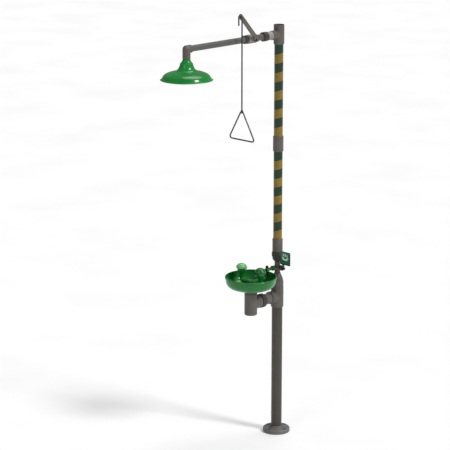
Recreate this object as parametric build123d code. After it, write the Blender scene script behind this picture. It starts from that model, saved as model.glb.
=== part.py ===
from build123d import *
from math import cos, radians, sin, sqrt
import os

# Combination drench shower and eyewash on one pedestal, in schedule 80 PVC pipe.
# Frame: origin at the centre of the floor flange's underside, +Z up.  The shower arm and
# the eyewash bowl both point to -Y, where the user stands, and +X is the user's right.
# All sizes are in millimetres.

os.makedirs("parts", exist_ok=True)

# ---- pipe sizes: outside radius and bore radius ----
PIPE_2 = (30.15, 24.65)
PIPE_1_5 = (24.15, 19.05)
PIPE_1 = (16.70, 12.15)
PIPE_0_375 = (8.55, 5.40)
GLUE = 0.10                # cement gap between a pipe and its socket
GAP = 0.40                 # clearance between pieces that move past each other

# ---- column ----
HEIGHT = 2340.0            # top of the top tee
FLANGE_R = 76.2
FLANGE_T = 22.0
FLANGE_HUB_R = 38.0
FLANGE_HUB_TOP = 34.0
BOLT_CIRCLE_R = 60.325
BOLT_HOLE_R = 9.5
TEE_2_R = 35.5             # outside radius of the 2 inch tees
TEE_2_HALF = 62.0          # half their height
TEE_2_REACH = 66.0         # centre to the end of the branch
TEE_2_SOCKET = 36.0        # socket depth
WASTE_Z = 803.0            # axis of the waste branch
CAP_TOP = 946.0
CAP_SPIGOT_R = 10.65       # spigot that holds up the eyewash valve

# ---- riser ----
UNION_LOW = 1006.0
UNION_TOP = 1061.0
UNION_R = 32.0
END_R = 13.4               # threaded end of the union
COUPLING_R = 29.0
LOW_COUPLING = (1062.0, 1137.0)
MID_COUPLING = (1636.0, 1722.0)
BANDS = 10                 # tape bands on each length of riser
TAPE_T = 0.5
TAPE_TILT = 14.0           # degrees between a band's edge and the horizontal
TAPE_AZ = 43.0             # direction in which the edges climb, from +X towards +Y

# ---- shower arm ----
ARM_Z = 2286.0
TOP_TEE_HALF = HEIGHT - ARM_Z
TOP_TEE_R = 29.5
TEE_END = 62.0             # distances along the arm from the column axis
ADAPTER_END = 100.0
RING_END = 132.0
VALVE_START = 176.0
VALVE_NECK = 190.0
VALVE_Y = 214.0            # valve stem
VALVE_SPLIT = 254.0
VALVE_END = 276.0
ELBOW_R = 21.2
ELBOW_ARM = 31.0           # centre of the elbow to the end of its level leg
ELBOW_DROP = 49.5          # and to the end of the leg that points down
ELBOW_SOCKET = 18.0        # and to the bottoms of both sockets
HEAD_Y = 705.0

# ---- pull gear ----
LEVER_X = 40.0
LEVER_W = 25.0
LEVER_T = 5.0
LEVER_LEN = 188.0          # pivot to rod hole
LEVER_REST = 47.3          # degrees above the horizontal
ROD_R = 4.0
ROD_X = 50.0
HOOK_X = 26.0
HOOK_TAIL = 52.0
HANDLE_SIDE = 192.0
HANDLE_LOW = 1758.0
HANDLE_CORNER = 12.0

# ---- shower head ----
HEAD_TOP = 2236.0
HEAD_WALL = 3.0
HEAD_DEPTH = 110.0         # neck to lip
POST_R = 48.0              # circle of the three posts that carry the deflector

# ---- eyewash ----
BOWL_Y = 215.0
BOWL_R = 144.0
RIM_Z = 961.0
BOWL_FLOOR = 886.0         # underside of the bowl
BOWL_WALL = 3.5
BOWL_SIDE = 141.0          # outside radius of the bowl's side, under the rim
DRAIN_HOLE_R = 24.0
SUPPLY_Z = 972.0
STOP_Y = 85.0              # spindle of the flow stop
DROP_Y = 104.0             # drop from the flow stop into the bowl
YOKE_Z = 925.0
HEAD_X = 72.0              # spray heads, either side of the bowl's centre
SPRAY_TOP = 996.0
COVER_R = 30.0
COVER_RISE = 25.0
COVER_T = 2.2
HINGE_Y = 34.0             # cover hinge behind the spray head's centre
HINGE_Z = SPRAY_TOP - 9
PIN_R = 1.5

# ---- push flag ----
FLAG_X = (37.0, 111.0)
FLAG_Z = (999.0, 1075.0)
FLAG_Y = -14.0             # back face of the flag
FLAG_T = 2.5

LEVER_PIVOT = (LEVER_X, -VALVE_Y, ARM_Z)
HOOK_Y = -VALVE_Y - LEVER_LEN * cos(radians(LEVER_REST))
HOOK_Z = ARM_Z + LEVER_LEN * sin(radians(LEVER_REST))
HANDLE_TOP = HANDLE_LOW + HANDLE_SIDE * sqrt(3) / 2 - HANDLE_CORNER
BOTTOM = (Align.CENTER, Align.CENTER, Align.MIN)
TO_FRONT = Rot(90, 0, 0)   # turns +Z to -Y
TO_RIGHT = Rot(0, 90, 0)   # turns +Z to +X


# ---- shape helpers ----

def rod(radius, low, high):
    """Cylinder about Z from low to high."""
    return Pos(0, 0, low) * Cylinder(radius, high - low, align=BOTTOM)


def tube(outer, inner, low, high):
    return rod(outer, low, high) - rod(inner, low - 1, high + 1)


def turned(points):
    """Solid of revolution about Z from (radius, height) points."""
    return revolve(Plane.XZ * make_face(Polyline(*points, close=True)), Axis.Z)


def turned_wire(*edges):
    """Solid of revolution about Z from joined edges drawn in the XZ plane."""
    return revolve(Plane.XZ * make_face(Curve() + list(edges)), Axis.Z)


def hexagon(across_flats, low, high):
    shape = extrude(RegularPolygon(across_flats / sqrt(3), 6), high - low)
    return Pos(0, 0, low) * shape


def front(shape, z=0.0, y=0.0, x=0.0):
    """Lay a shape built about Z along -Y, starting at the given point."""
    return Pos(x, y, z) * TO_FRONT * shape


def right(shape, z=0.0, y=0.0, x=0.0):
    """Lay a shape built about Z along +X, starting at the given point."""
    return Pos(x, y, z) * TO_RIGHT * shape


def pipe(size, low, high):
    return tube(size[0], size[1], low, high)


def hub(radius, low, high, edge=1.5):
    """Outside of a socket fitting, with its end edges broken."""
    body = rod(radius, low, high)
    return chamfer(body.edges().filter_by(GeomType.CIRCLE), edge)


# ---- column ----

def floor_flange():
    plate = rod(FLANGE_R, 0, FLANGE_T)
    plate = fillet(plate.edges().group_by(Axis.Z)[-1], 7)
    neck = turned([(0, FLANGE_T - 1), (FLANGE_HUB_R + 5, FLANGE_T - 1),
                   (FLANGE_HUB_R + 1, FLANGE_T + 4), (FLANGE_HUB_R, FLANGE_HUB_TOP - 3),
                   (FLANGE_HUB_R - 3, FLANGE_HUB_TOP), (0, FLANGE_HUB_TOP)])
    body = plate + neck
    body -= rod(PIPE_2[0] + GLUE, 4, FLANGE_HUB_TOP + 1)
    body -= rod(PIPE_2[1], -1, 5)
    for turn in range(4):
        body -= Rot(0, 0, 90 * turn) * Pos(BOLT_CIRCLE_R, 0, 0) * rod(BOLT_HOLE_R, -1, FLANGE_T + 1)
    return body


def tee_2(z, y, turn):
    """Two inch tee with its run upright and its branch turned about Z from -Y."""
    outside = hub(TEE_2_R, -TEE_2_HALF, TEE_2_HALF, 2.5)
    outside += front(hub(TEE_2_R, 0, TEE_2_REACH, 2.5))
    throat = TEE_2_HALF - TEE_2_SOCKET
    inside = rod(PIPE_2[1], -TEE_2_HALF - 1, TEE_2_HALF + 1)
    inside += front(rod(PIPE_2[1], 0, TEE_2_REACH + 1))
    inside += rod(PIPE_2[0] + GLUE, throat, TEE_2_HALF + 1)
    inside += rod(PIPE_2[0] + GLUE, -TEE_2_HALF - 1, -throat)
    inside += front(rod(PIPE_2[0] + GLUE, TEE_2_REACH - TEE_2_SOCKET + 5, TEE_2_REACH + 1))
    return Pos(0, y, z) * Rot(0, 0, turn) * (outside - inside)


def column_cap():
    """Domed reducing cap that closes the waste column and carries the riser."""
    base = WASTE_Z + TEE_2_HALF
    outer = Spline((TEE_2_R - 1, base + 8), (30, 908), (19, 936), (15, CAP_TOP))
    edges = [Line((0, base - 34), (PIPE_2[0], base - 34)),
             Line((PIPE_2[0], base - 34), (PIPE_2[0], base)),
             Line((PIPE_2[0], base), (TEE_2_R - 1, base)),
             Line((TEE_2_R - 1, base), (TEE_2_R - 1, base + 8)),
             outer,
             Line((15, CAP_TOP), (0, CAP_TOP)),
             Line((0, CAP_TOP), (0, base - 34))]
    body = turned_wire(*edges) + rod(CAP_SPIGOT_R, CAP_TOP - 2, CAP_TOP + 7.5)
    hollow = turned([(0, base - 35), (PIPE_2[1], base - 35), (PIPE_2[1], base + 20), (16, 908),
                     (0, 910)])
    return body - hollow


def waste_link():
    """Nipple between the two tees, and the union nut that closes on it."""
    start = TEE_2_REACH - TEE_2_SOCKET + 6
    nipple = front(pipe(PIPE_2, start, BOWL_Y - start), WASTE_Z)
    nut_from = BOWL_Y - TEE_2_REACH - 31
    nut = hub(39, nut_from, nut_from + 30, 3) - rod(PIPE_2[0] + GLUE, nut_from - 1, nut_from + 31)
    for turn in range(12):
        nut -= Rot(0, 0, 30 * turn) * Pos(40.6, 0, nut_from + 5) * Cylinder(3.2, 20, align=BOTTOM)
    return nipple, front(nut, WASTE_Z)


# ---- riser ----

def union_parts():
    """Union nut, the threaded end below it and the flat seal between them."""
    nut = turned([(0, UNION_LOW + 2), (19, UNION_LOW + 2), (23, UNION_LOW + 7), (27.5, UNION_LOW + 12),
                  (28.5, UNION_LOW + 24), (UNION_R, UNION_LOW + 30), (UNION_R, UNION_TOP - 3),
                  (UNION_R - 3, UNION_TOP), (0, UNION_TOP)])
    for turn in range(10):
        rib_gap = Pos(UNION_R + 1.5, 0, UNION_LOW + 31) * Cylinder(3.2, 30, align=BOTTOM)
        nut -= Rot(0, 0, 36 * turn) * rib_gap
    nut -= rod(22.0, UNION_LOW + 14, UNION_TOP + 1)
    nut -= rod(END_R + GLUE, UNION_LOW, UNION_LOW + 15)
    end = rod(END_R, UNION_LOW - 11, UNION_LOW + 15) + rod(21.8, UNION_LOW + 15, UNION_LOW + 22)
    end -= rod(9.4, UNION_LOW - 12, UNION_LOW + 23)
    seal = tube(20, 10, UNION_LOW + 22.1, UNION_LOW + 24.9)
    return nut, end, seal


def riser_bushing():
    """Reducing bushing from the union to the lower coupling."""
    top = LOW_COUPLING[0] + 29
    body = rod(21.8, UNION_LOW + 25, UNION_TOP + 1) + rod(PIPE_1_5[0], UNION_TOP + 1, top)
    return body - rod(9.4, UNION_LOW + 24, top + 1)


def coupling(span):
    low, high = span
    middle = (low + high) / 2
    body = hub(COUPLING_R, low, high, 2)
    body -= rod(PIPE_1_5[1], low - 1, high + 1)
    body -= rod(PIPE_1_5[0] + GLUE, low - 1, middle - 3)
    return body - rod(PIPE_1_5[0] + GLUE, middle + 3, high + 1)


def tape_bands(bottom, top, colour):
    """Alternate bands of safety tape: colour 0 starts at the top and colour 1 follows it."""
    band = (top - bottom) / BANDS
    sleeve = tube(PIPE_1_5[0] + 0.05 + TAPE_T, PIPE_1_5[0] + 0.05, bottom, top)
    bands = []
    for index in range(colour, BANDS, 2):
        above = band if index == 0 else 0.0
        below = band if index == BANDS - 1 else 0.0
        low = top - band * (index + 1) - below
        high = top - band * index + above
        thick = (high - low) * cos(radians(TAPE_TILT))
        slab = Rot(0, 0, TAPE_AZ) * Rot(0, -TAPE_TILT, 0) * Box(200, 200, thick)
        bands.append(sleeve & (Pos(0, 0, (low + high) / 2) * slab))
    return bands


def top_tee():
    """Reducing tee at the head of the riser; its open top socket takes the water supply."""
    outside = rod(TOP_TEE_R, ARM_Z - TOP_TEE_HALF, HEIGHT)
    outside = chamfer(outside.edges().group_by(Axis.Z)[0], 3)
    outside = chamfer(outside.edges().group_by(Axis.Z)[-1], 1)
    outside += front(hub(25.5, 0, TEE_END, 1.5), ARM_Z)
    inside = rod(PIPE_1_5[1], 2200, HEIGHT + 1)
    inside += rod(PIPE_1_5[0] + GLUE, 2200, ARM_Z - TOP_TEE_HALF + 30)
    inside += rod(PIPE_1_5[0] + GLUE, HEIGHT - 30, HEIGHT + 1)
    inside += front(rod(PIPE_1[1], 0, TEE_END + 1) + rod(20 + GLUE, TEE_END - 24, TEE_END + 1), ARM_Z)
    return outside - inside


# ---- shower arm ----

def arm_adapter():
    body = rod(20, TEE_END - 23, TEE_END + 1) + hub(23.5, TEE_END + 0.2, ADAPTER_END, 1.5)
    body -= rod(PIPE_1[1], TEE_END - 24, ADAPTER_END + 1)
    body -= rod(PIPE_1[0] + GLUE, TEE_END + 10, ADAPTER_END + 1)
    return front(body, ARM_Z)


def arm_lock_ring():
    body = hub(25.5, ADAPTER_END + 0.5, RING_END, 2)
    for turn in range(10):
        body -= Rot(0, 0, 36 * turn) * Pos(26.8, 0, ADAPTER_END + 4) * Cylinder(2.6, 24, align=BOTTOM)
    return front(body - rod(PIPE_1[0] + GLUE, ADAPTER_END - 1, RING_END + 1), ARM_Z)


def arm_nipple():
    return front(pipe(PIPE_1, TEE_END + 11, VALVE_START + 11.5), ARM_Z)


def shower_valve():
    """Quarter-turn ball valve in the arm: body, end piece, ball, seats, stem and packing nut."""
    ball_r, port_r, cavity_r = 17.5, 11.0, 18.5
    body = hub(24.5, VALVE_NECK, VALVE_SPLIT, 2) + hub(20, VALVE_START, VALVE_NECK + 3, 1.5)
    body += Pos(0, 0, VALVE_Y) * TO_RIGHT * rod(13, 0, 27)
    body -= rod(PIPE_1[1], VALVE_START - 1, VALVE_SPLIT)
    body -= rod(PIPE_1[0] + GLUE, VALVE_START - 1, VALVE_START + 12)
    body -= rod(cavity_r, VALVE_Y - 20, VALVE_SPLIT + 1)
    body -= Pos(0, 0, VALVE_Y) * TO_RIGHT * rod(6 + GAP, 0, 30)
    end = rod(cavity_r - GLUE, VALVE_Y + 20, VALVE_SPLIT + 1) + hub(22.5, VALVE_SPLIT + 0.2, VALVE_END, 2)
    end -= rod(PIPE_1[1], VALVE_Y + 19, VALVE_END + 1)
    end -= rod(PIPE_1[0] + GLUE, VALVE_SPLIT + 6, VALVE_END + 1)
    keep_out = Pos(0, 0, VALVE_Y) * Sphere(ball_r + GAP)
    seats = [tube(cavity_r - GLUE, port_r + 1, VALVE_Y - 19.9, VALVE_Y - 12) - keep_out,
             tube(cavity_r - GLUE, port_r + 1, VALVE_Y + 12, VALVE_Y + 19.9) - keep_out]
    ball = Sphere(ball_r) - rod(port_r, -20, 20) - Pos(ball_r - 1, 0, 0) * Box(6, 60, 5)
    stem = rod(6, ball_r + 0.1, LEVER_X + 9) + Pos(0, 0, ball_r - 1.5) * Box(4.6, 8, 3.4)
    nut = hexagon(27, 27.3, 35) - rod(6 + GAP, 27, 36)
    return {"shower_valve_body": front(body, ARM_Z),
            "shower_valve_end": front(end, ARM_Z),
            "shower_valve_seats": [front(seat, ARM_Z) for seat in seats],
            "shower_valve_ball": Pos(0, -VALVE_Y, ARM_Z) * ball,
            "shower_valve_stem": right(stem, ARM_Z, -VALVE_Y),
            "shower_packing_nut": right(nut, ARM_Z, -VALVE_Y)}


def pull_lever():
    """Flat lever on the valve stem, raised towards the front, with a hole for the pull rod."""
    bar = SlotCenterToCenter(LEVER_LEN, LEVER_W)
    bar = Pos(LEVER_LEN / 2, 0) * bar - Circle(6.05) - Pos(LEVER_LEN, 0) * Circle(ROD_R + 1.5)
    bar = extrude(bar, LEVER_T / 2, both=True)
    plane = Plane(origin=LEVER_PIVOT, x_dir=(0, -1, 0), z_dir=(-1, 0, 0))
    return plane * Rot(0, 0, LEVER_REST) * bar


def lever_nut():
    face = LEVER_X + LEVER_T / 2
    return right(hexagon(18, face, face + 5.5) - rod(6.05, face - 1, face + 6), ARM_Z, -VALVE_Y)


def pull_rod():
    """Round rod hooked through the lever, ending in an eye around the handle."""
    eye_r = 7.8
    path = FilletPolyline((ROD_X, HOOK_Y, HANDLE_TOP + eye_r), (ROD_X, HOOK_Y, HOOK_Z),
                          (HOOK_X, HOOK_Y, HOOK_Z), (HOOK_X, HOOK_Y, HOOK_Z - HOOK_TAIL), radius=6.5)
    start = Plane(origin=path @ 0, z_dir=path % 0)
    shaft = sweep(start * Circle(ROD_R), path=path)
    eye = Pos(ROD_X, HOOK_Y, HANDLE_TOP) * TO_RIGHT * Torus(eye_r, 2.6)
    return shaft + eye - Pos(ROD_X, HOOK_Y, HANDLE_TOP) * TO_RIGHT * rod(eye_r - 2.6, -6, 6)


def pull_handle():
    """Equilateral triangle of round rod, hung from its top corner."""
    half = HANDLE_SIDE / 2
    peak = HANDLE_LOW + HANDLE_SIDE * sqrt(3) / 2
    path = FilletPolyline((ROD_X + half, HOOK_Y, HANDLE_LOW), (ROD_X, HOOK_Y, peak),
                          (ROD_X - half, HOOK_Y, HANDLE_LOW), radius=HANDLE_CORNER, close=True)
    start = Plane(origin=path @ 0, z_dir=path % 0)
    return sweep(start * Circle(ROD_R), path=path)


def arm_pipe():
    return front(pipe(PIPE_1, VALVE_SPLIT + 7, HEAD_Y - ELBOW_SOCKET - 0.5), ARM_Z)


def arm_elbow():
    """Tight quarter bend at the arm's end, turning down to the head."""
    body = Sphere(ELBOW_R - 0.2)
    bore = Sphere(PIPE_1[1])
    for turn, reach in ((Rot(-90, 0, 0), ELBOW_ARM), (Rot(180, 0, 0), ELBOW_DROP)):
        body += turn * hub(ELBOW_R, 0, reach, 1.2)
        bore += turn * rod(PIPE_1[1], 0, reach + 1)
        bore += turn * rod(PIPE_1[0] + GLUE, ELBOW_SOCKET, reach + 1)
    return Pos(0, -HEAD_Y, ARM_Z) * (body - bore)


# ---- shower head ----

def head_outline(inset):
    """Outer profile of the bell from its neck to its lip, moved inward by the wall."""
    half = inset / 2
    neck = (20.5 - inset, HEAD_TOP - inset)
    ledge_in = (25.5 - inset, HEAD_TOP - 15)
    ledge_out = (34.5 - inset, HEAD_TOP - 25 - half)
    cone = (35.5 - inset, HEAD_TOP - 30)
    lip = (139 - inset, HEAD_TOP - HEAD_DEPTH)
    return [Line((0, HEAD_TOP - inset), neck),
            Spline(neck, (22.5 - inset, HEAD_TOP - 9), ledge_in),
            Line(ledge_in, ledge_out),
            Line(ledge_out, cone),
            Spline(cone, (41 - inset, HEAD_TOP - 46), (52 - inset, HEAD_TOP - 59.5 - half),
                   (70 - half, HEAD_TOP - 66 - inset), (104 - half, HEAD_TOP - 76.5 - inset),
                   (122.5 - inset, HEAD_TOP - 89), (131 - inset, HEAD_TOP - 103), lip),
            Line(lip, (0, HEAD_TOP - HEAD_DEPTH)),
            Line((0, HEAD_TOP - HEAD_DEPTH), (0, HEAD_TOP - inset))]


def shower_head():
    shell = turned_wire(*head_outline(0.0)) - turned_wire(*head_outline(HEAD_WALL))
    shell += rod(20, HEAD_TOP - 22, HEAD_TOP - 2)
    shell -= rod(PIPE_1[0] + GLUE, HEAD_TOP - 20, HEAD_TOP + 1)
    shell -= rod(10, HEAD_TOP - 23, HEAD_TOP)
    for turn in range(3):
        post = rod(5, HEAD_TOP - 75, HEAD_TOP - 60) - rod(1.6, HEAD_TOP - 76, HEAD_TOP - 66)
        shell += Rot(0, 0, 120 * turn + 30) * Pos(POST_R, 0, 0) * post
    return Pos(0, -HEAD_Y, 0) * shell


def head_nipple():
    return Pos(0, -HEAD_Y, 0) * pipe(PIPE_1, HEAD_TOP - 19, ARM_Z - ELBOW_SOCKET - 0.5)


def head_flow_control():
    """Ring that limits the flow, pressed into the head below the nipple."""
    ring = tube(9.9, 6, HEAD_TOP - 24, HEAD_TOP - 20.1) + tube(12, 6, HEAD_TOP - 26, HEAD_TOP - 22.1)
    return Pos(0, -HEAD_Y, 0) * ring


def head_deflector():
    """Dished disc that spreads the water into the drench pattern."""
    top = HEAD_TOP - 75.2
    plate = turned([(0, top), (56, top), (62, top - 2.8), (62, top - 4.8), (56, top - 2.8),
                    (14, top - 2.8), (0, top - 6.8)])
    for turn in range(3):
        plate -= Rot(0, 0, 120 * turn + 30) * Pos(POST_R, 0, 0) * rod(1.9, top - 8, top + 2)
    for turn in range(24):
        plate -= Rot(0, 0, 15 * turn + 7.5) * Pos(36, 0, 0) * rod(1.8, top - 8, top + 2)
    return Pos(0, -HEAD_Y, 0) * plate


def deflector_screws():
    screws = []
    face = HEAD_TOP - 78.1
    for turn in range(3):
        screw = rod(1.5, face - 1, HEAD_TOP - 67) + rod(3.4, face - 2.3, face)
        screws.append(Pos(0, -HEAD_Y, 0) * Rot(0, 0, 120 * turn + 30) * Pos(POST_R, 0, 0) * screw)
    return screws


# ---- bowl and its drain ----

def bowl_side(inset, floor):
    """Half section of the bowl up to its rim, moved inward by the wall."""
    side = BOWL_SIDE - inset
    return [Line((0, floor), (40, floor)),
            Spline((40, floor), (92 - inset / 2, floor + 6.5), (117 - inset, floor + 14),
                   (132 - inset, floor + 27), (139.5 - inset, floor + 48), (side, RIM_Z - 4)),
            Line((side, RIM_Z - 4), (side, RIM_Z)),
            Line((side, RIM_Z), (0, RIM_Z)),
            Line((0, RIM_Z), (0, floor))]


def bowl():
    """Round bowl with a rolled rim and a drain hole in its floor."""
    shell = turned_wire(*bowl_side(0.0, BOWL_FLOOR)) + rod(BOWL_R, RIM_Z - 8, RIM_Z)
    shell = fillet(shell.edges().group_by(Axis.Z)[-1], 3)
    cavity = turned_wire(*bowl_side(BOWL_WALL, BOWL_FLOOR + BOWL_WALL))
    cavity += rod(BOWL_SIDE - BOWL_WALL, RIM_Z - 1, RIM_Z + 1)
    drain = rod(DRAIN_HOLE_R, BOWL_FLOOR - 1, BOWL_FLOOR + 9)
    return Pos(0, -BOWL_Y, 0) * (shell - cavity - drain)


def drain_strainer():
    """Flanged strainer clamped through the bowl's floor, with its tail in the drain tee."""
    floor = BOWL_FLOOR + BOWL_WALL
    tail_end = WASTE_Z + TEE_2_HALF - 30
    body = rod(34, floor + 0.1, floor + 3.1) + rod(DRAIN_HOLE_R - 0.2, tail_end, floor + 1)
    body = fillet(body.edges().group_by(Axis.Z)[-1], 1.2)
    body -= rod(DRAIN_HOLE_R - 3.2, tail_end - 1, floor)
    body -= rod(3, floor - 1, floor + 4)
    for turn in range(8):
        body -= Rot(0, 0, 45 * turn) * Pos(12, 0, 0) * rod(3, floor - 1, floor + 4)
    return Pos(0, -BOWL_Y, 0) * body


def drain_gasket():
    return Pos(0, -BOWL_Y, 0) * tube(33, DRAIN_HOLE_R, BOWL_FLOOR - 3, BOWL_FLOOR - 0.1)


def drain_adapter():
    """Collar under the bowl, with a spigot that fits the drain tee's top socket."""
    top = WASTE_Z + TEE_2_HALF
    body = rod(PIPE_2[0], top - 28, top + 1) + hub(TEE_2_R - 0.5, top + 0.3, BOWL_FLOOR - 3.1, 2)
    return Pos(0, -BOWL_Y, 0) * (body - rod(DRAIN_HOLE_R, top - 29, BOWL_FLOOR))


# ---- eyewash valve ----

def eyewash_valve():
    """Angle ball valve: water enters from above and leaves towards the bowl."""
    ball_r, port_r = 12.0, 6.0
    body = hub(16, CAP_TOP + 0.5, UNION_LOW, 1.5) + Pos(0, 0, SUPPLY_Z) * Sphere(17.5)
    body += front(rod(12.5, 0, 30), SUPPLY_Z) + right(rod(12.5, 0, 22), SUPPLY_Z)
    body -= Pos(0, 0, SUPPLY_Z) * rod(13, -12.6, 12.6)
    body -= rod(port_r, SUPPLY_Z, UNION_LOW) + rod(END_R + GLUE, UNION_LOW - 11.5, UNION_LOW + 1)
    body -= front(rod(port_r, 0, 31) + rod(PIPE_0_375[0] + GLUE, 20, 31), SUPPLY_Z)
    body -= right(rod(4.5 + GAP, 0, 23), SUPPLY_Z)
    body -= rod(CAP_SPIGOT_R + GLUE, CAP_TOP, CAP_TOP + 8)
    keep_out = Sphere(ball_r + GAP)
    seat = tube(10.5, port_r + 0.5, 8, 12.5) - keep_out
    ball = Sphere(ball_r) - rod(port_r, -13, 0) - front(rod(port_r, 0, 13)) - Sphere(port_r)
    ball -= Pos(ball_r - 1, 0, 0) * Box(5, 30, 4)
    stem = rod(4.5, ball_r + 0.1, 55) + Pos(0, 0, ball_r - 1) * Box(3.6, 6, 2.4)
    nut = turned([(4.5 + GAP, 22.2), (13, 22.2), (15, 25), (15, 38), (12, 43.5), (4.5 + GAP, 43.5)])
    return {"eyewash_valve_body": body,
            "eyewash_valve_seats": [Pos(0, 0, SUPPLY_Z) * Rot(turn, 0, 0) * seat for turn in (0, 180)],
            "eyewash_valve_ball": Pos(0, 0, SUPPLY_Z) * ball,
            "eyewash_valve_stem": right(stem, SUPPLY_Z),
            "eyewash_packing_nut": right(nut, SUPPLY_Z)}


def flag_arm():
    """Bent strip from the valve stem to the back of the flag."""
    leg = Pos(47, -2.5, (SUPPLY_Z + FLAG_Z[0] + 30) / 2) * Box(3, 17, FLAG_Z[0] + 30 - SUPPLY_Z + 20)
    leg = fillet(leg.edges().filter_by(Axis.X), 4)
    foot = Pos(62, FLAG_Y + 1.6, FLAG_Z[0] + 20) * Box(33, 3, 22)
    return leg + foot - right(rod(4.55, 40, 60), SUPPLY_Z) - flag_holes(1.6)


def flag_holes(radius):
    holes = front(rod(radius, -20, 40), FLAG_Z[0] + 20, 0, 57)
    return holes + front(rod(radius, -20, 40), FLAG_Z[0] + 20, 0, 71)


def push_flag():
    """Square plate that the user pushes back to open the eyewash."""
    width, height = FLAG_X[1] - FLAG_X[0], FLAG_Z[1] - FLAG_Z[0]
    plate = Box(width, FLAG_T, height)
    plate = fillet(plate.edges().filter_by(Axis.Y), 6)
    centre = Pos((FLAG_X[0] + FLAG_X[1]) / 2, FLAG_Y - FLAG_T / 2, (FLAG_Z[0] + FLAG_Z[1]) / 2)
    return centre * plate - flag_holes(1.6)


def flag_screws():
    screws = []
    for x in (57, 71):
        face = FLAG_T - FLAG_Y
        screw = rod(1.5, 9, face + 1) + rod(3.4, face + 0.1, face + 2)
        screws.append(front(screw, FLAG_Z[0] + 20, 0, x))
    return screws


def stem_nut():
    return right(hexagon(14, 48.7, 53.5) - rod(4.55, 48, 54), SUPPLY_Z)


# ---- eyewash supply and spray heads ----

def supply_pipe():
    return front(pipe(PIPE_0_375, 20.5, 78), SUPPLY_Z)


def supply_nut():
    body = hexagon(25, 30.3, 46) - rod(PIPE_0_375[0] + GLUE, 30, 47)
    return front(body, SUPPLY_Z)


def flow_stop():
    """Screw-down stop in the supply pipe, joined to the elbow that turns into the bowl."""
    spindle = Pos(0, -STOP_Y, 0)
    body = front(rod(10.4, 70, 94), SUPPLY_Z) + spindle * rod(9, SUPPLY_Z, SUPPLY_Z + 11)
    path = FilletPolyline((0, -90, SUPPLY_Z), (0, -DROP_Y, SUPPLY_Z), (0, -DROP_Y, SUPPLY_Z - 16),
                          radius=11)
    start = Plane(origin=path @ 0, z_dir=path % 0)
    body += sweep(start * Circle(10.4), path=path)
    body -= sweep(start * Circle(PIPE_0_375[1]), path=path)
    body -= front(rod(PIPE_0_375[1], 69, 92), SUPPLY_Z)
    body -= front(rod(PIPE_0_375[0] + GLUE, 69, 78.5), SUPPLY_Z)
    body -= Pos(0, -DROP_Y, 0) * rod(PIPE_0_375[0] + GLUE, SUPPLY_Z - 17, SUPPLY_Z - 7)
    return body - spindle * rod(3 + GAP, SUPPLY_Z, SUPPLY_Z + 15)


def flow_knob():
    """Knob and spindle that trim the eyewash flow."""
    knob = rod(8, SUPPLY_Z + 11.5, SUPPLY_Z + 23)
    knob = fillet(knob.edges().group_by(Axis.Z)[-1], 2.5)
    for turn in range(8):
        knob -= Rot(0, 0, 45 * turn) * Pos(8.6, 0, SUPPLY_Z + 11) * Cylinder(1.3, 13, align=BOTTOM)
    return Pos(0, -STOP_Y, 0) * (knob + rod(3, SUPPLY_Z - 4, SUPPLY_Z + 12))


def spray_yoke():
    """Moulded yoke that carries the supply along the bowl's floor and up to both heads."""
    cross = FilletPolyline((-HEAD_X, -BOWL_Y, YOKE_Z + 22), (-HEAD_X, -BOWL_Y, YOKE_Z),
                           (HEAD_X, -BOWL_Y, YOKE_Z), (HEAD_X, -BOWL_Y, YOKE_Z + 22), radius=14)
    stem = FilletPolyline((0, -DROP_Y, YOKE_Z + 16), (0, -DROP_Y, YOKE_Z), (0, -BOWL_Y, YOKE_Z),
                          radius=14)
    leg = Pos(0, -DROP_Y, 0) * rod(PIPE_0_375[0], YOKE_Z + 15, SUPPLY_Z - 7.5)
    bore = Pos(0, -DROP_Y, 0) * rod(PIPE_0_375[1], YOKE_Z + 14, SUPPLY_Z)

    def run(path, radius):
        return sweep(Plane(origin=path @ 0, z_dir=path % 0) * Circle(radius), path=path)
    body = run(cross, 11) + run(stem, 10.4) + leg
    return body - run(cross, PIPE_0_375[1]) - run(stem, PIPE_0_375[1] - 0.2) - bore


def spray_head(x):
    """Eyewash nozzle with a perforated face and an ear for the cover's hinge pin."""
    base = YOKE_Z + 22.2
    body = turned([(0, base), (13, base), (13, base + 8), (17, base + 20), (23, SPRAY_TOP - 14),
                   (23, SPRAY_TOP - 3), (21, SPRAY_TOP), (0, SPRAY_TOP)])
    body -= turned([(0, base - 1), (6, base - 1), (6, base + 12), (19, SPRAY_TOP - 11),
                    (19, SPRAY_TOP - 3), (0, SPRAY_TOP - 3)])
    for ring, count in ((7, 6), (14, 12)):
        for turn in range(count):
            jet = Pos(ring, 0, 0) * rod(1.1, SPRAY_TOP - 4, SPRAY_TOP + 1)
            body -= Rot(0, 0, 360 / count * turn) * jet
    hinge = Pos(0, HINGE_Y, HINGE_Z) * TO_RIGHT
    ear = Pos(0, HINGE_Y - 6.5, HINGE_Z) * Box(6, 15, 8) + hinge * rod(4, -3, 3)
    body += ear - rod(21, SPRAY_TOP - 20, SPRAY_TOP)
    body -= hinge * rod(PIN_R + 0.05, -9, 9)
    return Pos(x, -BOWL_Y, 0) * body


def hinge_pin(x):
    return Pos(x, HINGE_Y - BOWL_Y, HINGE_Z) * TO_RIGHT * rod(PIN_R, -8, 8)


def dome(radius, rise, low, rim):
    """Solid dome over a short straight lip."""
    shoulder = rim + 4
    crown = Spline((radius, shoulder), (radius * 0.9, rim + rise * 0.55),
                   (radius * 0.55, rim + rise * 0.9), (0, rim + rise), tangents=((0, 1), (-1, 0)))
    back, base = Line((0, rim + rise), (0, shoulder)), Line((0, shoulder), (radius, shoulder))
    return rod(radius, low, shoulder) + turned_wire(crown, back, base)


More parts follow.
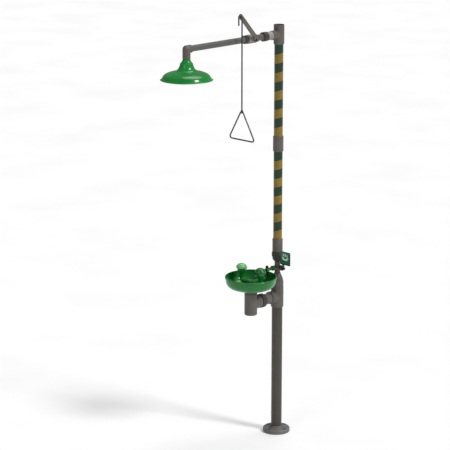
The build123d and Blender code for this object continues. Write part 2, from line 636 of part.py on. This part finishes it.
def dust_cover(x):
    """Domed flip-top cover with two hinge lugs behind it."""
    rim = SPRAY_TOP + 0.6
    body = dome(COVER_R, COVER_RISE, rim, rim)
    body -= dome(COVER_R - COVER_T, COVER_RISE - COVER_T, rim - 1, rim)
    for side in (-1, 1):
        lug = Pos(side * 5.2, HINGE_Y, HINGE_Z) * TO_RIGHT * rod(4, -1.6, 1.6)
        lug += Pos(side * 5.2, HINGE_Y - 1, HINGE_Z + 7) * Box(3.2, 10, 14)
        body += lug - rod(COVER_R - 1, SPRAY_TOP - 20, SPRAY_TOP + 3)
    body -= Pos(0, HINGE_Y, HINGE_Z) * TO_RIGHT * rod(PIN_R + 0.05, -12, 12)
    return Pos(x, -BOWL_Y, 0) * body


# ---- the assembly ----

def all_nodes():
    nipple, nut = waste_link()
    union_nut, union_end, union_seal = union_parts()
    upper = (MID_COUPLING[1] + 1, ARM_Z - TOP_TEE_HALF - 1)
    lower = (LOW_COUPLING[1] + 0.5, MID_COUPLING[0] - 0.5)
    nodes = {"floor_flange": floor_flange(),
             "lower_pipe": pipe(PIPE_2, 4.5, WASTE_Z - TEE_2_HALF + TEE_2_SOCKET - 1),
             "column_tee": tee_2(WASTE_Z, 0, 0),
             "column_cap": column_cap(),
             "waste_nipple": nipple,
             "waste_union_nut": nut,
             "drain_tee": tee_2(WASTE_Z, -BOWL_Y, 180),
             "drain_adapter": drain_adapter(),
             "drain_gasket": drain_gasket(),
             "drain_strainer": drain_strainer(),
             "bowl": bowl(),
             "flag_arm": flag_arm(),
             "push_flag": push_flag(),
             "flag_screws": flag_screws(),
             "flag_stem_nut": stem_nut(),
             "union_nut": union_nut,
             "union_end": union_end,
             "union_seal": union_seal,
             "riser_bushing": riser_bushing(),
             "lower_coupling": coupling(LOW_COUPLING),
             "lower_riser": pipe(PIPE_1_5, LOW_COUPLING[0] + 42, MID_COUPLING[0] + 39.5),
             "middle_coupling": coupling(MID_COUPLING),
             "upper_riser": pipe(PIPE_1_5, MID_COUPLING[0] + 46.5, ARM_Z - TOP_TEE_HALF + 29.5),
             "green_bands": tape_bands(*upper, 0) + tape_bands(*lower, 0),
             "yellow_bands": tape_bands(*upper, 1) + tape_bands(*lower, 1),
             "top_tee": top_tee(),
             "arm_adapter": arm_adapter(),
             "arm_lock_ring": arm_lock_ring(),
             "arm_nipple": arm_nipple(),
             "pull_lever": pull_lever(),
             "lever_nut": lever_nut(),
             "pull_rod": pull_rod(),
             "pull_handle": pull_handle(),
             "arm_pipe": arm_pipe(),
             "arm_elbow": arm_elbow(),
             "head_nipple": head_nipple(),
             "shower_head": shower_head(),
             "head_flow_control": head_flow_control(),
             "head_deflector": head_deflector(),
             "deflector_screws": deflector_screws(),
             "supply_pipe": supply_pipe(),
             "supply_nut": supply_nut(),
             "flow_stop": flow_stop(),
             "flow_knob": flow_knob(),
             "spray_yoke": spray_yoke()}
    nodes.update(shower_valve())
    nodes.update(eyewash_valve())
    nodes["spray_heads"] = [spray_head(-HEAD_X), spray_head(HEAD_X)]
    nodes["cover_hinge_pins"] = [hinge_pin(-HEAD_X), hinge_pin(HEAD_X)]
    nodes["left_dust_cover"] = dust_cover(-HEAD_X)
    nodes["right_dust_cover"] = dust_cover(HEAD_X)
    return nodes


def write(name, shape):
    """Write one node: a shape, or a list of shapes kept as separate solids."""
    if isinstance(shape, list):
        shape = Compound([solid for item in shape for solid in item.solids()])
    export_step(shape, os.path.join("parts", name + ".step"))


for node_name, node_shape in all_nodes().items():
    write(node_name, node_shape)
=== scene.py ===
"""Looks for the emergency safety shower: camera, stage, procedural materials and fine detail.

The CAD nodes stay as they are, with finishes of their own.  The pieces made here are the fine
detail that rides on them.  Metres, +Z up; the arm and the bowl point to -Y.
"""
import bpy
from math import cos, pi, radians, sin, tan
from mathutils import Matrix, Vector


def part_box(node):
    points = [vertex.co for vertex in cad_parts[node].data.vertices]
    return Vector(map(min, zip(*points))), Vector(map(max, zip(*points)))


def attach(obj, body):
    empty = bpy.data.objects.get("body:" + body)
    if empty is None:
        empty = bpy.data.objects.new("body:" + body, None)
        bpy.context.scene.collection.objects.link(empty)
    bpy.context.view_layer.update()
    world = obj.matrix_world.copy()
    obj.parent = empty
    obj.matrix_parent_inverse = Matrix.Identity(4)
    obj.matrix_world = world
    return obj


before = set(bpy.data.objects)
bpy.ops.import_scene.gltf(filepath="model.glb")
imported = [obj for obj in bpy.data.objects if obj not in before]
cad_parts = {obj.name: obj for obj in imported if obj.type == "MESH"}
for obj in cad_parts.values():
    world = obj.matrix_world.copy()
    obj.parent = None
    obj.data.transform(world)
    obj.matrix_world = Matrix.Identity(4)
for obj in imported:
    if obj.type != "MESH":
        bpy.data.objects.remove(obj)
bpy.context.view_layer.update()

MM = 0.001

# ---- camera: place in metres, angles in degrees ----
CAMERA_AZIMUTH = 42.87
CAMERA_DISTANCE = 10.52
CAMERA_HEIGHT = 3.934
CAMERA_PAN = 1.6
CAMERA_TILT = 14.5
CAMERA_LENS = 155.8

# ---- tape bands, as the frame has them; angles in degrees ----
BANDS = 10
TAPE_TILT = 14
TAPE_AZIMUTH = 43
UPPER_TAPE_GAP = 1 * MM    # above the middle coupling
LOWER_TAPE_GAP = 0.5 * MM  # at both ends of the lower riser

# ---- detail sizes ----
BEAD = 1.5 * MM            # cement bead around a socket
THREAD_PITCH = 2.2 * MM
THREAD_HEIGHT = 0.9 * MM
RING_THREAD = 15 * MM      # bare thread at the lock ring
VALVE_THREAD = 9 * MM      # and at the valve
SEAM_WIDTH = 1.4 * MM      # mould parting line
SEAM_HEIGHT = 0.35 * MM
SEAM_INSET = 3 * MM        # from a fitting's ends
LIP_WIDTH = 1.2 * MM       # lip where two bands of tape meet
LIP_HEIGHT = 0.16 * MM
BORDER_HEIGHT = 0.35 * MM  # raised border of the flag
MARK_HEIGHT = 0.3 * MM     # raised symbol on the flag
VALVE_BORDER = -0.200      # Y where the valve body's pale front ends


# ---- places taken from the frame ----

def low(node):
    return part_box(node)[0]


def high(node):
    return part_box(node)[1]


def middle(node):
    return (low(node) + high(node)) / 2


# ---- material helper ----

class Nodes:
    """A material's node tree, with short calls for the nodes used here."""

    def __init__(self, name):
        self.material = bpy.data.materials.new(name)
        self.material.use_nodes = True
        self.tree = self.material.node_tree
        self.shader = self.tree.nodes["Principled BSDF"]
        self.place = self.new("ShaderNodeTexCoord").outputs["Object"]

    def new(self, kind, **settings):
        node = self.tree.nodes.new(kind)
        for key, value in settings.items():
            setattr(node, key, value)
        return node

    def link(self, source, target):
        self.tree.links.new(source, target)

    def stretched(self, scale):
        """Object coordinates scaled along X, Y and Z."""
        node = self.new("ShaderNodeMapping")
        node.inputs["Scale"].default_value = scale
        self.link(self.place, node.inputs["Vector"])
        return node.outputs["Vector"]

    def noise(self, scale, detail=3.0, vector=None, rough=0.5):
        node = self.new("ShaderNodeTexNoise")
        node.inputs["Scale"].default_value = scale
        node.inputs["Detail"].default_value = detail
        node.inputs["Roughness"].default_value = rough
        self.link(vector or self.place, node.inputs["Vector"])
        return node.outputs["Fac"]

    def cells(self, scale, vector=None):
        """Distance to the edges of random cells, for fine scratches and cracks."""
        node = self.new("ShaderNodeTexVoronoi", feature="DISTANCE_TO_EDGE")
        node.inputs["Scale"].default_value = scale
        self.link(vector or self.place, node.inputs["Vector"])
        return node.outputs["Distance"]

    def remap(self, value, out_from, out_to, start=0.3, stop=0.7):
        node = self.new("ShaderNodeMapRange")
        numbers = (("From Min", start), ("From Max", stop), ("To Min", out_from), ("To Max", out_to))
        for key, number in numbers:
            node.inputs[key].default_value = number
        self.link(value, node.inputs["Value"])
        return node.outputs["Result"]

    def mix(self, factor, first, second):
        """Colour between two, each a colour or another node's output."""
        node = self.new("ShaderNodeMix", data_type="RGBA")
        self.link(factor, node.inputs["Factor"])
        for socket, colour in ((node.inputs[6], first), (node.inputs[7], second)):
            if isinstance(colour, tuple):
                socket.default_value = (*colour, 1)
            else:
                self.link(colour, socket)
        return node.outputs[2]

    def bump(self, height, strength, distance, after=None):
        node = self.new("ShaderNodeBump")
        node.inputs["Strength"].default_value = strength
        node.inputs["Distance"].default_value = distance
        self.link(height, node.inputs["Height"])
        if after:
            self.link(after, node.inputs["Normal"])
        return node.outputs["Normal"]

    def finish(self, colour, rough, normal, **fixed):
        self.link(colour, self.shader.inputs["Base Color"])
        self.link(rough, self.shader.inputs["Roughness"])
        self.link(normal, self.shader.inputs["Normal"])
        for key, value in fixed.items():
            self.shader.inputs[key.replace("_", " ")].default_value = value
        return self.material


def shade(colour, factor):
    return tuple(min(1.0, channel * factor) for channel in colour)


# ---- materials ----

def moulded_plastic(name, colour, grain=1.0):
    """Satin moulded plastic: cloudy tone, fine leather grain and scuffs."""
    n = Nodes(name)
    cloud = n.noise(16, 4)
    scuff = n.remap(n.noise(110, 6, n.stretched((1, 1, 0.2)), 0.7), 0, 0.30, 0.56, 0.74)
    tone = n.mix(n.remap(cloud, 0, 1), shade(colour, 0.84), shade(colour, 1.16))
    tone = n.mix(scuff, tone, shade(colour, 2.0))
    normal = n.bump(n.noise(1500, 2), 0.12 * grain, 0.0004)
    normal = n.bump(n.noise(120, 3), 0.07 * grain, 0.002, normal)
    return n.finish(tone, n.remap(cloud, 0.42, 0.56), normal, Specular_IOR_Level=0.35)


def two_tone_plastic(name, front, back, border):
    """Satin moulded plastic in two tones along the arm: one in front of a Y border, one behind it."""
    n = Nodes(name)
    split = n.new("ShaderNodeSeparateXYZ")
    n.link(n.place, split.inputs["Vector"])
    side = n.remap(split.outputs["Y"], 0, 1, border - 0.5 * MM, border + 0.5 * MM)
    cloud = n.noise(22, 4)
    scuff = n.remap(n.noise(120, 6, n.stretched((1, 0.3, 1)), 0.7), 0, 0.35, 0.56, 0.74)
    tone = n.mix(side, front, back)
    tone = n.mix(n.remap(cloud, 0, 0.45), tone, shade(back, 0.6))
    tone = n.mix(scuff, tone, shade(front, 1.5))
    normal = n.bump(n.noise(1500, 2), 0.12, 0.0004)
    normal = n.bump(n.noise(120, 3), 0.07, 0.002, normal)
    return n.finish(tone, n.remap(cloud, 0.42, 0.56), normal, Specular_IOR_Level=0.35)


def extruded_pipe(name, colour, along):
    """Extruded pipe: die lines along its length, handling marks and a satin skin."""
    n = Nodes(name)
    lines = n.noise(75, 4, n.stretched(along), 0.62)
    cloud = n.noise(9, 3)
    rubs = n.remap(n.noise(60, 6, None, 0.72), 0, 0.35, 0.6, 0.75)
    tone = n.mix(n.remap(cloud, 0, 1), shade(colour, 0.86), shade(colour, 1.14))
    tone = n.mix(n.remap(lines, 0, 0.4), tone, shade(colour, 1.6))
    tone = n.mix(rubs, tone, shade(colour, 2.1))
    normal = n.bump(lines, 0.14, 0.0006)
    normal = n.bump(n.noise(1300, 2), 0.06, 0.0003, normal)
    return n.finish(tone, n.remap(lines, 0.36, 0.5), normal, Specular_IOR_Level=0.35)


def glossy_plastic(name, colour, coat=0.35):
    """Glossy moulded plastic: faint mould ripple, swirl marks, fine dust and hard-water film."""
    n = Nodes(name)
    cloud = n.noise(8, 3)
    dust = n.remap(n.noise(800, 5, None, 0.7), 0, 0.07, 0.58, 0.75)
    swirl = n.remap(n.cells(90), 1, 0, 0.0, 0.03)
    tone = n.mix(n.remap(cloud, 0, 1), shade(colour, 0.80), shade(colour, 1.20))
    tone = n.mix(dust, tone, (0.30, 0.48, 0.32))
    normal = n.bump(n.noise(30, 2), 0.12, 0.002)
    normal = n.bump(swirl, 0.02, 0.0002, normal)
    rough = n.remap(n.noise(26, 4), 0.16, 0.30)
    return n.finish(tone, rough, normal, Coat_Weight=coat, Coat_Roughness=0.06, Specular_IOR_Level=0.28)


def vinyl_tape(name, colour):
    """Satin vinyl tape pulled tight: cross wrinkles, trapped air and rubbed patches."""
    n = Nodes(name)
    wrinkle = n.noise(42, 4, n.stretched((1, 1, 5)), 0.55)
    air = n.remap(n.noise(160, 3), 0, 1, 0.6, 0.7)
    rub = n.remap(n.noise(55, 5), 0, 0.28, 0.52, 0.72)
    tone = n.mix(n.remap(wrinkle, 0, 1), shade(colour, 0.80), shade(colour, 1.20))
    tone = n.mix(rub, tone, shade(colour, 1.8))
    normal = n.bump(wrinkle, 0.2, 0.0008)
    normal = n.bump(air, 0.15, 0.0003, normal)
    return n.finish(tone, n.remap(rub, 0.34, 0.5, 0, 0.28), normal, Specular_IOR_Level=0.35)


def brushed_steel(name, colour, along):
    """Stainless steel with a drawn grain, finger marks and dull spots."""
    n = Nodes(name)
    grain = n.noise(340, 5, n.stretched(along), 0.7)
    marks = n.noise(60, 4)
    tone = n.mix(n.remap(grain, 0, 1), shade(colour, 0.75), shade(colour, 1.25))
    tone = n.mix(n.remap(marks, 0, 0.35, 0.5, 0.75), tone, shade(colour, 0.5))
    return n.finish(tone, n.remap(marks, 0.26, 0.44), n.bump(grain, 0.18, 0.0003), Metallic=1.0)


def soft_rubber(name, colour):
    n = Nodes(name)
    fine = n.noise(900, 3)
    tone = n.mix(n.remap(fine, 0, 1), shade(colour, 0.8), shade(colour, 1.3))
    return n.finish(tone, n.remap(fine, 0.6, 0.8), n.bump(fine, 0.2, 0.0004))


def enamel(name, colour):
    """Baked enamel on sheet metal: orange peel and light scratches."""
    n = Nodes(name)
    cloud = n.noise(30, 4)
    scratch = n.remap(n.noise(220, 5, n.stretched((1, 1, 0.15)), 0.75), 0, 0.25, 0.6, 0.78)
    tone = n.mix(n.remap(cloud, 0, 1), shade(colour, 0.86), shade(colour, 1.14))
    tone = n.mix(scratch, tone, shade(colour, 1.9))
    normal = n.bump(n.noise(420, 2), 0.08, 0.0005)
    return n.finish(tone, n.remap(cloud, 0.24, 0.36), normal, Coat_Weight=0.25, Coat_Roughness=0.1)


def studio_floor():
    n = Nodes("studio_floor")
    cloud = n.noise(1.5, 3)
    tone = n.mix(n.remap(cloud, 0, 1), (0.84, 0.84, 0.84), (0.88, 0.88, 0.88))
    return n.finish(tone, n.remap(cloud, 0.65, 0.8), n.bump(n.noise(60, 3), 0.02, 0.001))


ALONG_Z = (1.0, 1.0, 0.03)
ALONG_Y = (1.0, 0.03, 1.0)
# The column pipe, arm pipe, fitting and flange greys are partly the plastics' own colours and partly
# painted light: the level arm pipe and the flange are made lighter than the upright column pipe, as
# light from above falls on them.
COLUMN_PIPE = extruded_pipe("column_pipe", (0.047, 0.045, 0.036), ALONG_Z)
ARM_PIPE = extruded_pipe("arm_pipe_grey", (0.078, 0.079, 0.071), ALONG_Y)
FITTING = moulded_plastic("fitting_grey", (0.098, 0.088, 0.079))
FLANGE = moulded_plastic("flange_grey", (0.120, 0.118, 0.112))
# Painted highlight: the arm adapter is the same grey plastic as the fittings, made pale as if lit by a
# highlight.
PALE = moulded_plastic("pale_grey", (0.26, 0.245, 0.22))
DARK = moulded_plastic("dark_grey", (0.038, 0.036, 0.034))
BLACK = moulded_plastic("black_plastic", (0.010, 0.010, 0.011))
WHITE = moulded_plastic("seat_white", (0.75, 0.75, 0.72))
CEMENT = moulded_plastic("dried_cement", (0.060, 0.058, 0.052), 2.0)
GREEN = glossy_plastic("safety_green", (0.008, 0.205, 0.032), 0.22)
# Painted shade: the right dust cover gets a darker copy of the cover green so it sinks into the bowl's
# shade; the real covers share one green.
PAINTED_SHADE_COVER_GREEN = glossy_plastic("painted_shade_cover_green", (0.008, 0.105, 0.020), 0.15)
# The bowl green is a darker copy of the head's safety green: partly the bowl's own tone, partly painted
# shade.
BOWL_GREEN = glossy_plastic("bowl_green", (0.006, 0.150, 0.024), 0.22)
COVER_GREEN = glossy_plastic("cover_green", (0.150, 0.480, 0.150), 0.2)
TAPE_GREEN = vinyl_tape("tape_green_vinyl", (0.006, 0.030, 0.013))
TAPE_YELLOW = vinyl_tape("tape_yellow_vinyl", (0.200, 0.130, 0.012))
VALVE_GREY = two_tone_plastic("valve_grey", (0.27, 0.255, 0.23), (0.085, 0.080, 0.072), VALVE_BORDER)
STEEL_Z = brushed_steel("drawn_steel", (0.075, 0.070, 0.070), (1.0, 1.0, 0.02))
STEEL_Y = brushed_steel("brushed_steel", (0.16, 0.15, 0.125), (1.0, 0.1, 0.1))
RUBBER = soft_rubber("black_rubber", (0.012, 0.012, 0.012))
FLAG_ENAMEL = enamel("flag_enamel", (0.020, 0.170, 0.095))
FLAG_EDGE = enamel("flag_edge", (0.004, 0.035, 0.018))
FLAG_MARK = enamel("flag_mark", (0.62, 0.82, 0.68))

DRESS = {
    COLUMN_PIPE: ["lower_pipe", "lower_riser", "upper_riser", "supply_pipe"],
    ARM_PIPE: ["arm_pipe", "arm_nipple", "head_nipple"],
    FLANGE: ["floor_flange"],
    FITTING: ["column_tee", "column_cap", "waste_nipple", "drain_tee", "drain_adapter",
              "lower_coupling", "middle_coupling", "top_tee", "arm_elbow", "riser_bushing",
              "eyewash_valve_body", "union_end"],
    PALE: ["arm_adapter"],
    VALVE_GREY: ["shower_valve_body"],
    DARK: ["arm_lock_ring", "shower_valve_end", "shower_packing_nut", "union_nut", "waste_union_nut",
           "eyewash_packing_nut"],
    BLACK: ["flow_knob", "head_flow_control", "shower_valve_ball", "eyewash_valve_ball"],
    WHITE: ["shower_valve_seats", "eyewash_valve_seats"],
    GREEN: ["shower_head", "head_deflector"],
    BOWL_GREEN: ["bowl", "supply_nut", "flow_stop", "drain_strainer", "spray_heads", "spray_yoke"],
    PAINTED_SHADE_COVER_GREEN: ["right_dust_cover"],
    COVER_GREEN: ["left_dust_cover"],
    TAPE_GREEN: ["green_bands"],
    TAPE_YELLOW: ["yellow_bands"],
    STEEL_Z: ["pull_rod", "pull_handle", "flag_arm", "flag_screws", "flag_stem_nut", "cover_hinge_pins",
              "deflector_screws", "eyewash_valve_stem"],
    STEEL_Y: ["pull_lever", "lever_nut", "shower_valve_stem"],
    FLAG_ENAMEL: ["push_flag"],
    RUBBER: ["drain_gasket", "union_seal"],
}


def dress_nodes():
    for finish, names in DRESS.items():
        for name in names:
            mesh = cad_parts[name].data
            mesh.materials.clear()
            mesh.materials.append(finish)


# ---- piece helpers ----

def piece(name, points, faces, body, finish, smooth=True):
    """Mesh object that rides on a body, in the given finish."""
    mesh = bpy.data.meshes.new(name)
    mesh.from_pydata([tuple(point) for point in points], [], faces)
    mesh.validate()
    mesh.materials.append(finish)
    for polygon in mesh.polygons:
        polygon.use_smooth = smooth
    thing = bpy.data.objects.new(name, mesh)
    bpy.context.collection.objects.link(thing)
    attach(thing, body)


def strip_faces(rows, columns, closed_rows=False, closed_columns=False):
    """Quads over a grid of points stored row by row."""
    faces = []
    for row in range(rows if closed_rows else rows - 1):
        for column in range(columns if closed_columns else columns - 1):
            below, beside = (row + 1) % rows, (column + 1) % columns
            faces.append((row * columns + column, row * columns + beside,
                          below * columns + beside, below * columns + column))
    return faces


def facing(axis):
    """Turn that takes +Z to an axis."""
    return Vector((0, 0, 1)).rotation_difference(Vector(axis)).to_matrix()


def bead(name, centre, axis, radius):
    """Uneven ring of squeezed-out cement where a pipe enters a socket."""
    around, across = 96, 8
    turn = facing(axis)
    points = []
    for step in range(around):
        angle = 2 * pi * step / around
        swell = 1 + 0.22 * sin(5 * angle + 40 * centre.z) + 0.13 * sin(11 * angle + 90 * centre.y)
        for part in range(across):
            slope = 2 * pi * part / across
            out = radius + BEAD * swell * cos(slope)
            up = BEAD * 0.8 * swell * sin(slope)
            points.append(centre + turn @ Vector((out * cos(angle), out * sin(angle), up)))
    piece(name, points, strip_faces(around, across, True, True), "frame", CEMENT)


def thread(name, centre, axis, radius, length):
    """Helical ridge of a pipe thread that fades out at its far end."""
    per_turn = 48
    steps = int(length / THREAD_PITCH * per_turn)
    turn = facing(axis)
    points = []
    for step in range(steps + 1):
        angle = 2 * pi * step / per_turn
        along = length * step / steps
        fade = min(1.0, 4 * (1 - step / steps))
        for part, rise in ((-0.45, -0.2), (-0.08, 1.0), (0.08, 1.0), (0.45, -0.2)):
            out = radius + THREAD_HEIGHT * rise * fade
            up = along + part * THREAD_PITCH
            points.append(centre + turn @ Vector((out * cos(angle), out * sin(angle), up)))
    piece(name, points, strip_faces(steps + 1, 4), "frame", ARM_PIPE)


def seam(name, route, normals):
    """Parting line left by a mould: a thin raised line along a route."""
    points = []
    for index, (place, normal) in enumerate(zip(route, normals)):
        ahead = route[min(index + 1, len(route) - 1)] - route[max(index - 1, 0)]
        aside = ahead.cross(normal).normalized() * SEAM_WIDTH / 2
        for side, rise in ((-1, -0.3), (-0.45, 1), (0.45, 1), (1, -0.3)):
            points.append(place + aside * side + normal * SEAM_HEIGHT * rise)
    piece(name, points, strip_faces(len(route), 4), "frame", FITTING)


def straight(start, stop, count=12):
    return [start.lerp(stop, step / (count - 1)) for step in range(count)]


# ---- fine detail on the pipework ----

def add_beads():
    """Cement at the sockets that the eye can reach."""
    sockets = (("lower_pipe", "floor_flange", "z", 1), ("lower_pipe", "column_tee", "z", -1),
               ("arm_pipe", "shower_valve_end", "y", -1), ("arm_pipe", "arm_elbow", "y", 1),
               ("waste_nipple", "column_tee", "y", -1))
    for pipe, fitting, along, side in sockets:
        centre = middle(pipe)
        ends = high(fitting) if side > 0 else low(fitting)
        setattr(centre, along, getattr(ends, along))
        radius = (high(pipe).x - low(pipe).x) / 2
        axis = (0, 0, 1) if along == "z" else (0, 1, 0)
        bead(f"cement_{pipe}_{fitting}", centre, axis, radius)


def add_threads():
    """Bare thread of the arm nipple on both sides of its smooth middle."""
    centre = middle("arm_nipple")
    radius = (high("arm_nipple").x - low("arm_nipple").x) / 2
    ring_face = Vector((centre.x, low("arm_lock_ring").y, centre.z))
    valve_face = Vector((centre.x, high("shower_valve_body").y, centre.z))
    thread("nipple_thread_ring", ring_face, (0, -1, 0), radius, RING_THREAD)
    thread("nipple_thread_valve", valve_face, (0, 1, 0), radius, VALVE_THREAD)


def add_upright_seams():
    """Parting lines down the fittings of the column, in the plane of the arm."""
    both, back, front = (-1, 1), (1,), (-1,)
    column, drain = 0, middle("bowl").y
    fittings = (("lower_coupling", column, both), ("middle_coupling", column, both),
                ("top_tee", column, back), ("column_tee", column, back), ("drain_tee", drain, front))
    for node, y, sides in fittings:
        radius = (high(node).x - low(node).x) / 2
        for side in sides:
            foot = Vector((0, y + side * radius, low(node).z + SEAM_INSET))
            head = Vector((0, y + side * radius, high(node).z - SEAM_INSET))
            route = straight(foot, head)
            label = "back" if side > 0 else "front"
            seam(f"seam_{node}_{label}", route, [Vector((0, side, 0))] * len(route))


def add_elbow_seam():
    """Parting line over the outside of the arm's elbow, along both its legs."""
    centre = Vector((0, middle("head_nipple").y, middle("arm_pipe").z))
    radius = (high("arm_elbow").x - low("arm_elbow").x) / 2
    level_end = high("arm_elbow").y - centre.y - SEAM_INSET
    drop_end = low("arm_elbow").z - centre.z + SEAM_INSET
    level = straight(centre + Vector((0, level_end, radius)), centre + Vector((0, 0, radius)), 6)
    upright = straight(centre + Vector((0, -radius, 0)), centre + Vector((0, -radius, drop_end)), 6)
    turns = [radians(90) * step / 17 for step in range(1, 17)]
    out = [Vector((0, -sin(turn), cos(turn))) for turn in turns]
    route = level + [centre + normal * (radius - 0.1 * MM) for normal in out] + upright
    normals = [Vector((0, 0, 1))] * len(level) + out + [Vector((0, -1, 0))] * len(upright)
    seam("seam_elbow", route, normals)


def tape_edge(name, level, radius, finish):
    """Lip of one tape edge, on the tilted ellipse where two bands meet."""
    count = 72
    turns = [2 * pi * step / count for step in range(count)]
    normals = [Vector((cos(turn), sin(turn), 0)) for turn in turns]
    climb = tan(radians(TAPE_TILT))
    heading = Vector((cos(radians(TAPE_AZIMUTH)), sin(radians(TAPE_AZIMUTH)), 0))
    points = []
    for normal in normals:
        centre = Vector((0, 0, level + climb * radius * normal.dot(heading)))
        for rise, out in ((-0.5, -0.05 * MM), (-0.2, LIP_HEIGHT), (0.25, LIP_HEIGHT), (0.5, -0.05 * MM)):
            points.append(centre + normal * (radius + out) + Vector((0, 0, rise * LIP_WIDTH)))
    piece(name, points, strip_faces(count, 4, True), "frame", finish)


def add_tape_edges():
    """Each band laps over the next one by a thin lip."""
    radius = (high("yellow_bands").x - low("yellow_bands").x) / 2
    spans = (("upper", high("middle_coupling").z + UPPER_TAPE_GAP, high("green_bands").z),
             ("lower", high("lower_coupling").z + LOWER_TAPE_GAP,
              low("middle_coupling").z - LOWER_TAPE_GAP))
    for section, bottom, top in spans:
        band = (top - bottom) / BANDS
        for index in range(1, BANDS):
            finish, slot = ((TAPE_GREEN, "tape_green"), (TAPE_YELLOW, "tape_yellow"))[index % 2]
            tape_edge(f"tape_lip_{section}_{index}", top - band * index, radius, finish)


# ---- the push flag ----

def plate_outline(width, tall, corner):
    """Rounded rectangle about the origin, in X and Z."""
    steps = 8
    outline = []
    for quarter, (side, end) in enumerate(((1, 1), (-1, 1), (-1, -1), (1, -1))):
        for step in range(steps + 1):
            angle = radians(90) * (quarter + step / steps)
            outline.append(Vector((side * (width / 2 - corner) + corner * cos(angle), 0,
                                   end * (tall / 2 - corner) + corner * sin(angle))))
    return outline


def raised(name, outline, centre):
    """Part of the flag's symbol, raised to the front from an outline, with a softened edge."""
    middle_point = sum(outline, Vector()) / len(outline)
    levels = ((1.0, 0.0), (1.0, 0.65), (0.985, 0.9), (0.95, 1.0))
    points = []
    for scale, rise in levels:
        for point in outline:
            inner = middle_point + (point - middle_point) * scale
            points.append(centre + inner + Vector((0, -MARK_HEIGHT * rise, 0)))
    count = len(outline)
    faces = strip_faces(len(levels), count, False, True)
    faces.append(tuple(range((len(levels) - 1) * count, len(levels) * count)))
    piece(name, points, faces, "eyewash_flag", FLAG_MARK, False)


def flag_border(centre, width, tall):
    """Raised dark border around the flag."""
    outer = plate_outline(width - 1 * MM, tall - 1 * MM, 6 * MM)
    inner = plate_outline(width - 15 * MM, tall - 15 * MM, 3 * MM)
    lift = Vector((0, -BORDER_HEIGHT, 0))
    rows = ((outer, Vector()), (outer, lift), (inner, lift), (inner, Vector()))
    points = [centre + point + rise for row, rise in rows for point in row]
    piece("flag_border", points, strip_faces(4, len(outer), False, True), "eyewash_flag",
          FLAG_EDGE, False)


def drop_outline(width, tall):
    """Water drop, its tip up."""
    outline = []
    for step in range(28):
        angle = 2 * pi * step / 28
        taper = sin(angle / 2) ** 1.6
        outline.append(Vector((width / 2 * sin(angle) * taper, 0, tall / 2 * cos(angle))))
    return outline


def basin_outline(width, deep, wall):
    """Half-round basin seen from the side."""
    outline = []
    for step in range(25):
        angle = pi + pi * step / 24
        outline.append(Vector((width / 2 * cos(angle), 0, deep * sin(angle))))
    for step in range(25):
        angle = 2 * pi - pi * step / 24
        outline.append(Vector(((width / 2 - wall) * cos(angle), 0, (deep - wall) * sin(angle))))
    return outline


def add_flag_detail():
    """Border and a plain symbol: drops falling into a basin."""
    width = high("push_flag").x - low("push_flag").x
    tall = high("push_flag").z - low("push_flag").z
    centre = middle("push_flag")
    centre.y = low("push_flag").y
    flag_border(centre, width, tall)
    for index, (x, z, size) in enumerate(((-14, 18, 1.0), (0, 20, 1.2), (14, 18, 1.0))):
        place = centre + Vector((x * MM, 0, z * MM))
        raised(f"flag_drop_{index + 1}", drop_outline(10 * MM * size, 16 * MM * size), place)
    basin_at = centre + Vector((0, 0, 6 * MM))
    raised("flag_basin", basin_outline(48 * MM, 19 * MM, 11 * MM), basin_at)


# ---- stage ----

def make_camera():
    data = bpy.data.cameras.new("camera")
    data.lens = CAMERA_LENS
    data.clip_end = 100
    camera = bpy.data.objects.new("camera", data)
    bpy.context.collection.objects.link(camera)
    azimuth = radians(CAMERA_AZIMUTH)
    camera.location = (sin(azimuth) * CAMERA_DISTANCE, -cos(azimuth) * CAMERA_DISTANCE, CAMERA_HEIGHT)
    camera.rotation_euler = (radians(90 - CAMERA_TILT), 0, azimuth + radians(CAMERA_PAN))
    bpy.context.scene.camera = camera


def make_floor():
    mesh = bpy.data.meshes.new("floor")
    reach, level = 60, -0.5 * MM
    corners = [(x * reach, y * reach, level) for x, y in ((-1, -1), (1, -1), (1, 1), (-1, 1))]
    mesh.from_pydata(corners, [], [(0, 1, 2, 3)])
    mesh.materials.append(studio_floor())
    floor = bpy.data.objects.new("floor", mesh)
    bpy.context.collection.objects.link(floor)


def soft_sun(name, azimuth, elevation, strength, spread):
    """Even light from far away; azimuth as the camera's, in degrees."""
    data = bpy.data.lights.new(name, "SUN")
    data.energy = strength
    data.angle = radians(spread)
    light = bpy.data.objects.new(name, data)
    bpy.context.collection.objects.link(light)
    turn, rise = radians(azimuth), radians(elevation)
    source = Vector((sin(turn) * cos(rise), -cos(turn) * cos(rise), sin(rise)))
    light.rotation_euler = (-source).to_track_quat("-Z", "Y").to_euler()


def make_lights():
    world = bpy.data.worlds.new("studio")
    world.use_nodes = True
    background = world.node_tree.nodes["Background"]
    background.inputs["Color"].default_value = (1, 1, 1, 1)
    background.inputs["Strength"].default_value = 0.24
    bpy.context.scene.world = world
    bpy.context.scene.view_settings.view_transform = "Standard"
    soft_sun("key", 104, 40, 2.1, 14)
    soft_sun("fill", 10, 22, 0.45, 30)
    soft_sun("top", 190, 68, 1.6, 40)


make_camera()
make_floor()
make_lights()
dress_nodes()
add_beads()
add_threads()
add_upright_seams()
add_elbow_seam()
add_tape_edges()
add_flag_detail()
